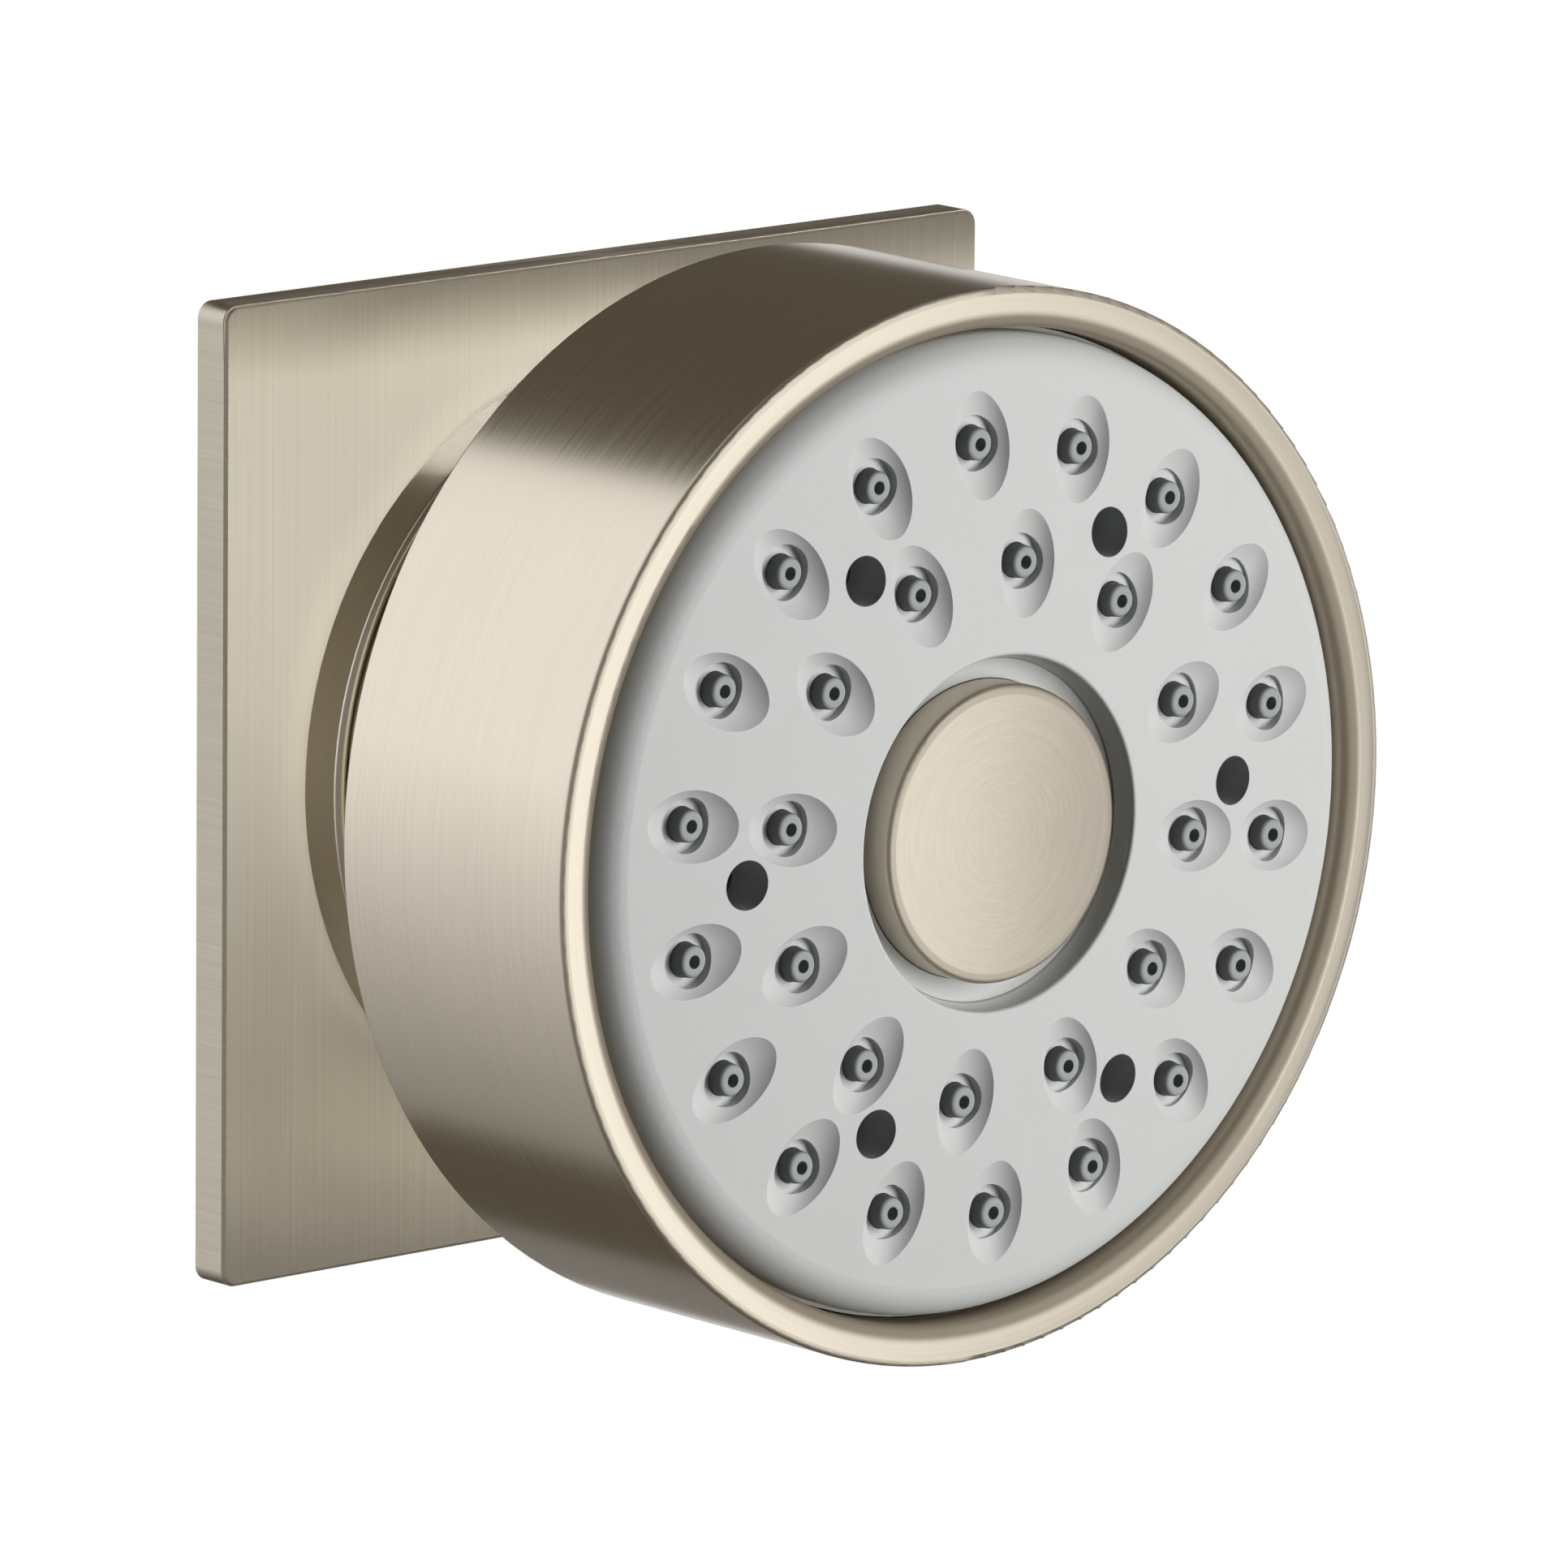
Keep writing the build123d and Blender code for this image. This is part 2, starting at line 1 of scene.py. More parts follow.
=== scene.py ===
import math

import bmesh
import bpy
from mathutils import Matrix, Vector


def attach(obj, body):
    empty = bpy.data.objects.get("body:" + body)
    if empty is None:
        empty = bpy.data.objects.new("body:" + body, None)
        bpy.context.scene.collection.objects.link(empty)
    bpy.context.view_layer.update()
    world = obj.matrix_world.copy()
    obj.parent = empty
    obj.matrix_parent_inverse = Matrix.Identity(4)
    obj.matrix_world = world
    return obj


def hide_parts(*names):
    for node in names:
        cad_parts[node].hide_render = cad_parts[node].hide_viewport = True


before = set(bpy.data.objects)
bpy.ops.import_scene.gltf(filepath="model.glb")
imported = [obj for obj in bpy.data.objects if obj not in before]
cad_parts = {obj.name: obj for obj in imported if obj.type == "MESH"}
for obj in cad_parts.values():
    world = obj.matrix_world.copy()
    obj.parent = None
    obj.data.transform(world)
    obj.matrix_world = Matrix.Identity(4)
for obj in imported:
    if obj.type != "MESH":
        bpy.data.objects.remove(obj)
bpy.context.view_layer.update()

MM = 0.001

# Camera, fitted to the plate's corners and the head's rings in the photograph
PHOTO_PIXELS = 1932
CAMERA_AZIMUTH = -41.208
CAMERA_ELEVATION = 11.335
CAMERA_ROLL = 0.570
CAMERA_DISTANCE = 985.996 * MM
CAMERA_ACROSS = 12.667 * MM
CAMERA_UP = -3.022 * MM
FOCAL_PIXELS = 19832.709
SENSOR_WIDTH = 36.0

# The part's middle, and the floor below it: height and half side in metres, glow to the camera
MIDDLE = Vector((0, -20 * MM, 0))
FLOOR_HEIGHT = -0.30
FLOOR_REACH = 0.55
FLOOR_GLOW = 0.92

# Power of a lamp that looks as bright as white, in watts to its square metre
WHITE_LAMP = 4

# Tall strips of light in front: azimuths in degrees from and to, and brightness
FRONT_STRIPS = ((-4, 30, 0.86), (30, 37, 0.84), (37, 43, 0.74), (43, 49, 0.58), (49, 57, 0.42))
STRIP_DISTANCE = 1.6
STRIP_HEIGHT = 3.4

# Softboxes: where they stand in degrees and metres, size in metres, and brightness, where 1 is white
KEY_SOFTBOX = dict(azimuth=33, elevation=5, distance=1.3, width=0.7, height=1.2, brightness=5.7)
PLATE_SOFTBOX = dict(
    azimuth=41.3, elevation=-10.1, distance=0.16, width=0.26, height=0.05, brightness=1.0
)
COVER_SOFTBOX = dict(azimuth=169, elevation=44, distance=0.5, width=0.21, height=0.3, brightness=0.58)
PLATE_AIM = Vector((0, -2 * MM, 11 * MM))
COVER_AIM = Vector((0, -2 * MM, 0))

# Panels of the studio: azimuths in degrees from and to, heights from and to as the sine of the elevation
LEFT_BACK_PANEL = dict(left=-169.6, right=-100, low=-0.8, high=0.85, soft_sides=0.025, lean=-0.05)
LEFT_BACK_RISE = 1.05
LEFT_BACK_LEVEL = 0.92
LEFT_BACK_LEAST = 0.12
LEFT_BACK_ON_DULL = 0.03
PANELS = (
    dict(left=112, right=163, low=-0.36, high=0.08, soft_sides=0.05, soft_ends=0.05, brightness=0.75),
    dict(left=112, right=159, low=-0.75, high=-0.30, soft_sides=0.03, soft_ends=0.05, brightness=0.13),
    dict(left=56, right=100, low=-0.8, high=0.85, soft_sides=0.15, brightness=0.42),
    dict(left=-24, right=-2, low=-0.95, high=-0.45, soft_sides=0.08, brightness=0.55),
)
CAMERA_SIDE_PANEL = dict(
    left=-100, right=-4, low=-0.6, high=0.6, soft_sides=0.15, soft_ends=0.3, brightness=0.15
)

# Wall plate in millimetres, whose front is flat up to PLATE_FLAT. A pair is a blend's start and end
PLATE_EDGE = (29.4, 29.8)
PLATE_FRONT = (-2.56, -2.36)
PLATE_FLAT = 25.0

# The head's rim, in millimetres. Depths are from the rim's front
RIM_FRONT = -37.0
RIM_TOP_RADIUS = 30.5
RIM_LAND_RADIUS = 32.15
RIM_BRUSH_DEPTHS = (0.4, 0.7)
RIM_LEAN_RADII = (30.3, 31.0)
RIM_LEAN_DEPTH = 3.0
RIM_INSIDE_RADII = (30.7, 31.25)
RIM_INSIDE_END = (-33.8, -33.2)
RIM_EDGE_RADII = (32.1, 32.25)
RIM_EDGE_DEPTHS = (0.3, 0.5)

# The cap and the moat round it, in millimetres
CAP_SIDE_RADII = (8.35, 8.5)
MOAT_RADII = (10.35, 10.45)
MOAT_LIP = -38.5

# How far a form falls away, in millimetres for each square millimetre, and how steeply a wall leans
PLATE_FALL = 0.013
RIM_FALL = 0.045
CAP_FALL = 0.006
RIM_LEAN = 0.4
MOAT_LEAN = 0.9

# Rings of holes: radius of the ring in millimetres, how many holes and the first one's angle
AIR_RING = (19.38, 6, 2.2)
OUTER_NOZZLES = (23.47, 18, 12.2)
INNER_NOZZLES = (16.27, 12, 22.2)
AIR_HOLE_EDGE = (1.5, 1.55)
BORE_EDGE = (0.41, 0.46)
NOZZLE_TIP_EDGE = (0.82, 1.02)

# G 1/2 pipe thread of the inlet: 14 turns to the inch, in millimetres
THREAD_PITCH = 1.814
THREAD_RADIUS = 10.4775
THREAD_DEPTH = 1.162
THREAD_FLANK = math.radians(27.5)
THREAD_END = 15.0
THREAD_TURNS = 7
THREAD_STARTS_INSIDE = 1.09
THREAD_STEPS = 40
CUTTER_STANDS_OUT = 0.15
CUTTER_LIFT = 1.1
WELD_DISTANCE = 0.0005 * MM
SHARP_ANGLE = math.radians(25)

# Colours of the finishes; the darker nickel inside the rim and down the cap's side, and the dark grey in
# the air holes, beside the nozzles and in their bores, are painted shade
NICKEL = (0.787, 0.722, 0.609)
NICKEL_EDGE = (0.76, 0.70, 0.59)
# Painted shade: darker nickel for the shade and dark reflections inside the rim
RIM_INSIDE_PAINTED_SHADE = (0.40, 0.35, 0.275)
NICKEL_CAP = (0.65, 0.60, 0.505)
# Painted shade down the cap's side, in the moat
CAP_SIDE_PAINTED_SHADE = (0.60, 0.54, 0.45)
NICKEL_BRIGHT = (0.82, 0.77, 0.68)
STEEL = (0.60, 0.59, 0.57)
BETWEEN_WIRES = (0.02, 0.02, 0.02)
FACE_PLASTIC = (0.615, 0.625, 0.61)
# Painted shade down the face's air holes
AIR_HOLE_PAINTED_SHADE = (0.42, 0.43, 0.42)
SILICONE = (0.36, 0.38, 0.37)
# Painted shade beside the nozzle tips and in their bores
NOZZLE_SIDE_PAINTED_SHADE = (0.075, 0.08, 0.077)
BORE_PAINTED_SHADE = (0.30, 0.31, 0.30)
DARK_PLASTIC = (0.035, 0.037, 0.038)
ACETAL = (0.80, 0.80, 0.76)
LINER = (0.84, 0.84, 0.80)
FOAM = (0.035, 0.035, 0.036)
RUBBER = (0.012, 0.012, 0.012)
FLOOR_GREY = (0.3, 0.3, 0.3, 1.0)
BLACK = (0.0, 0.0, 0.0)
WHITE = (1.0, 1.0, 1.0)
ROOM_ON_DULL = (0.012, 0.017, 0.02)
ROOM_IN_GLOSS = (0.098, 0.085, 0.065)
BRIGHTEST = 0.95

# Make-up of the grains: shares of the fine and the coarse lines, and of a grain and the mottle over it
FINE_LINES = 0.6
COARSE_LINES = 0.4
LINE_ROUGHNESS = 0.55
GRAIN_SHARE = 0.8
MOTTLE_SHARE = 0.2
MOTTLE_SCALE = 0.12
GRAIN_ROUGHENS = 0.12

# Make-up of moulded surfaces: shares of the fine grain and the cloudy one, and how much each roughens
FINE_SHARE = 0.4
CLOUDY_SHARE = 0.6
CLOUDY_SCALE = 0.25
FINE_ROUGHENS = 0.06
CLOUDY_ROUGHENS = 0.1

# Wire cloth of the filter: wires to the millimetre, edge of a wire, roughness and relief
WIRES_PER_MM = 2.6
WIRE_EDGE = (0.45, 0.9)
GAP_ROUGHNESS = 0.55
WIRE_SMOOTHER_BY = 0.2
WIRE_RELIEF = 0.08

# Turned nickel of the head and the cover ring
TURNED = dict(roughness=0.18, depth=0.14, relief=0.0014)


class Level:
    """A shader's number that takes part in sums and products, each adding a Math node."""

    def __init__(self, nodes, socket):
        self.nodes = nodes
        self.socket = socket

    def maths(self, operation, *others):
        values = [self.socket]
        for other in others:
            values.append(other.socket if isinstance(other, Level) else other)
        return self.nodes.node("ShaderNodeMath", {"operation": operation}, values)

    def __add__(self, other):
        return self.maths("ADD", other)

    def __sub__(self, other):
        return self.maths("SUBTRACT", other)

    def __rsub__(self, other):
        return (self * -1) + other

    def __mul__(self, other):
        return self.maths("MULTIPLY", other)

    def __truediv__(self, other):
        return self.maths("DIVIDE", other)

    def __abs__(self):
        return self.maths("ABSOLUTE")

    def sine(self):
        return self.maths("SINE")

    def least(self, other):
        return self.maths("MINIMUM", other)

    def most(self, other):
        return self.maths("MAXIMUM", other)

    def rise(self, low, high):
        """0 below low, 1 above high, with a smooth rise between them."""
        settings = {"interpolation_type": "SMOOTHSTEP"}
        return self.nodes.node("ShaderNodeMapRange", settings, {"Value": self.socket, 1: low, 2: high})


class Nodes:
    """A node tree that is filled from Python."""

    def __init__(self, tree):
        self.tree = tree

    def node(self, kind, settings=None, sockets=None, output=0):
        """Adds a node, sets it up, feeds its sockets and returns its output as a Level."""
        made = self.tree.nodes.new(kind)
        for name, value in (settings or {}).items():
            setattr(made, name, value)
        pairs = enumerate(sockets) if isinstance(sockets, list) else (sockets or {}).items()
        for key, value in pairs:
            self.feed(made.inputs[key], value)
        return None if output is None else Level(self, made.outputs[output])

    def feed(self, socket, value):
        """Links a socket to a Level, or sets it to a plain value."""
        if isinstance(value, Level):
            value = value.socket
        if isinstance(value, bpy.types.NodeSocket):
            self.tree.links.new(value, socket)
        else:
            socket.default_value = value

    def parts(self, vector):
        """The three numbers of a vector."""
        first = self.node("ShaderNodeSeparateXYZ", {}, {0: vector})
        outputs = first.socket.node.outputs
        return [Level(self, outputs[number]) for number in range(3)]

    def vector(self, x, y, z):
        return self.node("ShaderNodeCombineXYZ", {}, [x, y, z])

    def blend(self, mask, low, high):
        """A colour between two colours, each a plain one or a Level."""
        made = self.tree.nodes.new("ShaderNodeMix")
        made.data_type = "RGBA"
        self.feed(made.inputs[0], mask)
        self.feed(made.inputs[6], low if isinstance(low, Level) else (*low, 1.0))
        self.feed(made.inputs[7], high if isinstance(high, Level) else (*high, 1.0))
        return Level(self, made.outputs[2])

    def ray(self, kind):
        """1 for rays of one kind, 0 for the others."""
        path = self.node("ShaderNodeLightPath").socket.node.outputs
        return Level(self, path[kind])


class Finish(Nodes):
    """A material built from nodes round one Principled shader."""

    def __init__(self, name, **sockets):
        self.material = bpy.data.materials.new(name)
        self.material.use_nodes = True
        super().__init__(self.material.node_tree)
        self.shader = self.tree.nodes["Principled BSDF"]
        self.surface(**sockets)

    def surface(self, **sockets):
        """Feeds sockets of the shader, whose names have spaces for the underscores."""
        for socket, value in sockets.items():
            self.feed(self.shader.inputs[socket.replace("_", " ")], value)

    def place(self):
        """Object coordinates in millimetres."""
        where = self.node("ShaderNodeTexCoord", output="Object")
        return self.node("ShaderNodeMapping", {}, {"Vector": where, "Scale": (1 / MM, 1 / MM, 1 / MM)})

    def noise(self, vector, scale=1.0, detail=2.0, roughness=0.5, fourth=None):
        sockets = {"Vector": vector, "Scale": scale, "Detail": detail, "Roughness": roughness}
        settings = {"noise_dimensions": "3D"}
        if fourth is not None:
            settings["noise_dimensions"] = "4D"
            sockets["W"] = fourth
        return self.node("ShaderNodeTexNoise", settings, sockets, output="Fac")

    def bump(self, height):
        """Raises the surface by a height in millimetres, and returns the finish."""
        sockets = {"Height": height, "Distance": MM, "Strength": 1.0}
        self.surface(Normal=self.node("ShaderNodeBump", {}, sockets))
        return self

    def streaks(self, x, y, z, spacing, length, along):
        """Fine lines that run along one axis: 0 for x, 1 for y, 2 for z."""
        steps = [spacing, spacing, spacing]
        steps[along] = length
        place = self.vector(x / steps[0], y / steps[1], z / steps[2])
        return self.noise(place, roughness=LINE_ROUGHNESS)

    def radius(self):
        """Distance from the jet's axis in millimetres, never quite 0."""
        x, _, z = self.parts(self.place())
        return (x * x + z * z).maths("SQRT").most(0.01)

    def from_holes(self, ring):
        """Distance in millimetres from the axis of the nearest hole of a ring of them."""
        ring_radius, count, first_angle = ring
        x, _, z = self.parts(self.place())
        angle = z.maths("ARCTAN2", x) - math.radians(first_angle)
        aside = angle.maths("PINGPONG", math.pi / count)
        radius = self.radius()
        out = radius * aside.maths("COSINE") - ring_radius
        across = radius * aside.sine()
        return (out * out + across * across).maths("SQRT")

    def rings(self, spacing, per_turn):
        """Fine lines round the part's own axis, with so many of them end to end in a turn."""
        x, y, z = self.parts(self.place())
        radius = self.radius()
        reach = per_turn / (2 * math.pi)
        round_it = self.vector(x / radius * reach, z / radius * reach, radius / spacing)
        return self.noise(round_it, roughness=LINE_ROUGHNESS, fourth=y / spacing)

    def shade(self, level, colour, depth):
        """The colour, darker and lighter by depth as the level goes from 0 to 1."""
        low = tuple(part * (1 - depth) for part in colour)
        high = tuple(min(part * (1 + depth), BRIGHTEST) for part in colour)
        return self.blend(level, low, high)


def set_material(piece, finish):
    piece.data.materials.clear()
    piece.data.materials.append(finish.material)


def brushed_metal(name, colour, grain_of, roughness, depth=0.16, relief=0.004, form=None, **sockets):
    """Metal with a fine grain in its tone, roughness and surface, and a slight form of its own."""
    finish = Finish(name, Metallic=1.0, **sockets)
    grain = grain_of(finish)
    mottle = finish.noise(finish.place(), scale=MOTTLE_SCALE, detail=3.0)
    finish.tone = finish.shade(grain * GRAIN_SHARE + mottle * MOTTLE_SHARE, colour, depth)
    finish.roughness = grain * GRAIN_ROUGHENS + (roughness - GRAIN_ROUGHENS / 2)
    finish.surface(Base_Color=finish.tone, Roughness=finish.roughness)
    height = grain * relief
    if form is not None:
        height = form(finish, height)
    return finish.bump(height)


def rougher_and_darker(finish, where, colour, rougher_by):
    """Metal that is rougher, and takes another colour, where the mask is 1; inside the rim and down the
    cap's side that colour is painted shade.
    """
    finish.tone = finish.blend(where, finish.tone, colour)
    finish.roughness = finish.roughness + where * rougher_by
    finish.surface(Base_Color=finish.tone, Roughness=finish.roughness)
    return finish


def turned_grain(finish):
    """Lines round the part, some long and some short."""
    fine = finish.rings(spacing=0.12, per_turn=8)
    coarse = finish.rings(spacing=0.28, per_turn=20)
    return fine * FINE_LINES + coarse * COARSE_LINES


def lathe_grain(finish):
    return finish.rings(spacing=0.16, per_turn=5)


def rim_form(finish, grain):
    """The rolled rim is smooth, falls away a little outwards and leans inwards on its inside."""
    radius = finish.radius()
    _, y, _ = finish.parts(finish.place())
    depth = y - RIM_FRONT
    beyond = (radius.least(RIM_LAND_RADIUS) - RIM_TOP_RADIUS).most(0.0)
    inside = 1 - radius.rise(*RIM_LEAN_RADII)
    lean = depth.most(0.0).least(RIM_LEAN_DEPTH) * inside * RIM_LEAN
    return grain * depth.rise(*RIM_BRUSH_DEPTHS) + beyond * beyond * -RIM_FALL + lean


def rim_nickel():
    """The head's nickel: rougher inside the rim, where its darker colour is painted shade, and less
    polished along the outer edge of its front.
    """
    finish = brushed_metal("turned_nickel_with_rim", NICKEL, turned_grain, form=rim_form, **TURNED)
    radius = finish.radius()
    _, y, _ = finish.parts(finish.place())
    # Painted shade inside the rim, with a rougher finish there
    inside = (1 - radius.rise(*RIM_INSIDE_RADII)) * (1 - y.rise(*RIM_INSIDE_END))
    rougher_and_darker(finish, inside, RIM_INSIDE_PAINTED_SHADE, rougher_by=0.35)
    edge = radius.rise(*RIM_EDGE_RADII) * (1 - (y - RIM_FRONT).rise(*RIM_EDGE_DEPTHS))
    return rougher_and_darker(finish, edge, NICKEL_EDGE, rougher_by=0.22)


def cap_form(finish, grain):
    """The cap is very slightly domed."""
    radius = finish.radius()
    return grain + radius * radius * -CAP_FALL


def cap_nickel():
    """The cap's nickel: finely turned in front, and rougher down its side, which is darkened with
    painted shade.
    """
    look = dict(roughness=0.2, depth=0.2, relief=0.002, form=cap_form)
    finish = brushed_metal("domed_brushed_nickel", NICKEL_CAP, turned_grain, **look)
    # Painted shade down the cap's side, with a rougher finish there
    side = finish.radius().rise(*CAP_SIDE_RADII)
    return rougher_and_darker(finish, side, CAP_SIDE_PAINTED_SHADE, rougher_by=0.25)


def plate_grain(finish):
    """Lines down the plate's front, and lines from front to back on its edges."""
    x, y, z = finish.parts(finish.place())
    fine = finish.streaks(x, y, z, spacing=0.11, length=40.0, along=2)
    coarse = finish.streaks(x, y, z, spacing=0.26, length=30.0, along=2)
    on_edges = finish.streaks(x, y, z, spacing=0.16, length=12.0, along=1)
    edge = abs(x).most(abs(z)).rise(*PLATE_EDGE)
    return (fine * FINE_LINES + coarse * COARSE_LINES) * (1 - edge) + on_edges * edge


def plate_form(finish, grain):
    """The plate's front falls away a little towards its top edge."""
    _, y, z = finish.parts(finish.place())
    front = 1 - y.rise(*PLATE_FRONT)
    beyond = (z - PLATE_FLAT).most(0.0)
    return grain + beyond * beyond * front * -PLATE_FALL


def plate_nickel():
    """The plate's nickel: its lines run down, so they spread the light sideways."""
    look = dict(roughness=0.42, depth=0.24, form=plate_form, Anisotropic=0.7)
    return brushed_metal("straight_brushed_nickel", NICKEL, plate_grain, **look)


def moulded(name, colour, roughness, depth=0.03, grain=3.5, relief=0.006, form=None):
    """Plastic or rubber with a fine moulded grain and a little unevenness."""
    finish = Finish(name)
    place = finish.place()
    fine = finish.noise(place, scale=grain, detail=3.0, roughness=0.6)
    cloudy = finish.noise(place, scale=CLOUDY_SCALE, detail=3.0)
    finish.tone = finish.shade(fine * FINE_SHARE + cloudy * CLOUDY_SHARE, colour, depth)
    finish.surface(Base_Color=finish.tone)
    smoothest = roughness - (CLOUDY_ROUGHENS + FINE_ROUGHENS) / 2
    finish.surface(Roughness=cloudy * CLOUDY_ROUGHENS + fine * FINE_ROUGHENS + smoothest)
    height = fine * relief
    if form is not None:
        height = form(finish, height)
    return finish.bump(height)


def moat_form(finish, grain):
    """The wall of the moat leans outwards a little."""
    _, y, _ = finish.parts(finish.place())
    wall = 1 - finish.radius().rise(*MOAT_RADII)
    return grain + (y - MOAT_LIP).most(0.0) * wall * MOAT_LEAN


def face_plastic():
    """The face's plastic, with painted shade down its air holes."""
    finish = moulded("satin_grey_plastic", FACE_PLASTIC, roughness=0.48, depth=0.02, form=moat_form)
    solid = finish.from_holes(AIR_RING).rise(*AIR_HOLE_EDGE)
    # Painted shade: the plastic turns dark grey down the air holes
    finish.surface(Base_Color=finish.blend(solid, AIR_HOLE_PAINTED_SHADE, finish.tone))
    return finish


def nozzle_silicone():
    """The mat's silicone: its own pale grey on the nozzles' tips, with painted shade beside them, over
    the rest of the mat, and in their bores.
    """
    finish = moulded("soft_grey_silicone", SILICONE, roughness=0.62, depth=0.05, relief=0.01)
    out = finish.from_holes(OUTER_NOZZLES).least(finish.from_holes(INNER_NOZZLES))
    # Painted shade: dark grey beyond each nozzle's tip, over the rest of the mat
    tone = finish.blend(out.rise(*NOZZLE_TIP_EDGE), finish.tone, NOZZLE_SIDE_PAINTED_SHADE)
    # Painted shade: darker grey down each nozzle's bore
    finish.surface(Base_Color=finish.blend(out.rise(*BORE_EDGE), BORE_PAINTED_SHADE, tone))
    return finish


def wire_cloth():
    """Fine steel wire cloth: a grid of wires, dark between them."""
    finish = Finish("steel_wire_cloth", Metallic=1.0)
    x, _, z = finish.parts(finish.place())
    phase = WIRES_PER_MM * math.pi
    across = abs((x * phase).sine())
    down = abs((z * phase).sine())
    wire = across.most(down).rise(*WIRE_EDGE)
    finish.surface(Base_Color=finish.blend(wire, BETWEEN_WIRES, STEEL))
    finish.surface(Roughness=GAP_ROUGHNESS - wire * WIRE_SMOOTHER_BY)
    return finish.bump(wire * WIRE_RELIEF)


def make_finishes():
    """The finish of each node, by the node's name."""
    cover = brushed_metal("turned_brushed_nickel", NICKEL, turned_grain, **TURNED)
    brass = brushed_metal(
        "bright_nickel_over_brass", NICKEL_BRIGHT, lathe_grain, roughness=0.2, relief=0.006
    )
    steel = brushed_metal("plain_steel", STEEL, lathe_grain, roughness=0.3, relief=0.006)
    rubber = moulded("black_seal_rubber", RUBBER, roughness=0.5, depth=0.2)
    acetal = moulded("white_acetal", ACETAL, roughness=0.4)
    foam = moulded("closed_cell_foam", FOAM, roughness=0.85, depth=0.35, grain=2.2, relief=0.12)
    return {
        "wall_plate": plate_nickel(),
        "plate_gasket": foam,
        "inlet_nipple": brass,
        "filter_screen": wire_cloth(),
        "filter_washer": rubber,
        "cover_ring": cover,
        "cover_o_ring": rubber,
        "ball_liner": moulded("smooth_white_liner", LINER, roughness=0.32),
        "rear_seat": acetal,
        "front_seat": acetal,
        "spring_washer": steel,
        "swivel_nut": brass,
        "ball_seal": rubber,
        "head_housing": rim_nickel(),
        "spigot_o_ring": rubber,
        "flow_limiter": moulded("dark_plastic", DARK_PLASTIC, roughness=0.45, depth=0.15),
        "limiter_ring": rubber,
        "distributor": moulded("dark_rib_plastic", DARK_PLASTIC, roughness=0.5, depth=0.15),
        "distributor_screws": steel,
        "screw_o_rings": rubber,
        "nozzle_mat": nozzle_silicone(),
        "spray_face": face_plastic(),
        "centre_screw": steel,
        "centre_cap": cap_nickel(),
        "cap_o_ring": rubber,
    }


def dress_the_nodes(finishes):
    for name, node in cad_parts.items():
        set_material(node, finishes[name])


def object_from(name, shape):
    """An object with the shape of a bmesh, which is used up."""
    mesh = bpy.data.meshes.new(name)
    shape.to_mesh(mesh)
    shape.free()
    made = bpy.data.objects.new(name, mesh)
    bpy.context.scene.collection.objects.link(made)
    return made


def thread_cutter():
    """The groove of the pipe thread as a solid, fading in at the chamfer and out near the collar."""
    root = THREAD_RADIUS - THREAD_DEPTH
    outside = THREAD_RADIUS + CUTTER_STANDS_OUT
    root_half = THREAD_PITCH / 4 - THREAD_DEPTH / 2 * math.tan(THREAD_FLANK)
    outside_half = root_half + (outside - root) * math.tan(THREAD_FLANK)
    start = THREAD_END - THREAD_STARTS_INSIDE
    corners = (
        (root, start - root_half),
        (root, start + root_half),
        (outside, start + outside_half),
        (outside, start - outside_half),
    )
    shape = bmesh.new()
    profile = shape.faces.new([shape.verts.new((radius * MM, y * MM, 0)) for radius, y in corners])
    bmesh.ops.spin(
        shape,
        geom=[profile, *profile.edges, *profile.verts],
        cent=(0, 0, 0),
        axis=(0, 1, 0),
        dvec=(0, -THREAD_PITCH / THREAD_STEPS * MM, 0),
        angle=THREAD_TURNS * 2 * math.pi,
        steps=THREAD_TURNS * THREAD_STEPS,
        use_duplicate=False,
    )
    # The spin makes the points four at a time, so a point's number tells how many turns it is along
    for number, point in enumerate(shape.verts):
        turns = number // len(corners) / THREAD_STEPS
        shallow = max(1 - 2 * turns, turns - (THREAD_TURNS - 1), 0)
        spread = 1 + THREAD_DEPTH / root * shallow * CUTTER_LIFT
        point.co.x *= spread
        point.co.z *= spread
    bmesh.ops.remove_doubles(shape, verts=shape.verts, dist=WELD_DISTANCE)
    bmesh.ops.recalc_face_normals(shape, faces=shape.faces)
    return object_from("thread_cutter", shape)


def threaded_nipple(finish):
    """The inlet nipple with the turns of its pipe thread cut in."""
    shape = bmesh.new()
    shape.from_mesh(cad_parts["inlet_nipple"].data)
    bmesh.ops.remove_doubles(shape, verts=shape.verts, dist=WELD_DISTANCE)
    piece = object_from("threaded_nipple", shape)
    cutter = thread_cutter()
    cut = piece.modifiers.new("thread", "BOOLEAN")
    cut.operation = "DIFFERENCE"
    cut.solver = "EXACT"
    cut.object = cutter
    result = bpy.data.meshes.new_from_object(piece.evaluated_get(bpy.context.evaluated_depsgraph_get()))
    piece.modifiers.clear()
    piece.data = result
    bpy.data.objects.remove(cutter)
    # Normals kept from the solid would shade the cut wrongly
    carried_over = result.attributes.get("custom_normal")
    if carried_over is not None:
        result.attributes.remove(carried_over)
    result.shade_smooth()
    result.set_sharp_from_angle(angle=SHARP_ANGLE)
    set_material(piece, finish)
    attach(piece, "fixed_base")
    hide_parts("inlet_nipple")


def compass(azimuth, elevation):
    """The direction at an angle round to the right of the front, and one above level."""
    round_it = math.radians(azimuth)
    above = math.radians(elevation)
    return Vector((
        math.sin(round_it) * math.cos(above),
        -math.cos(round_it) * math.cos(above),
        math.sin(above),
    ))


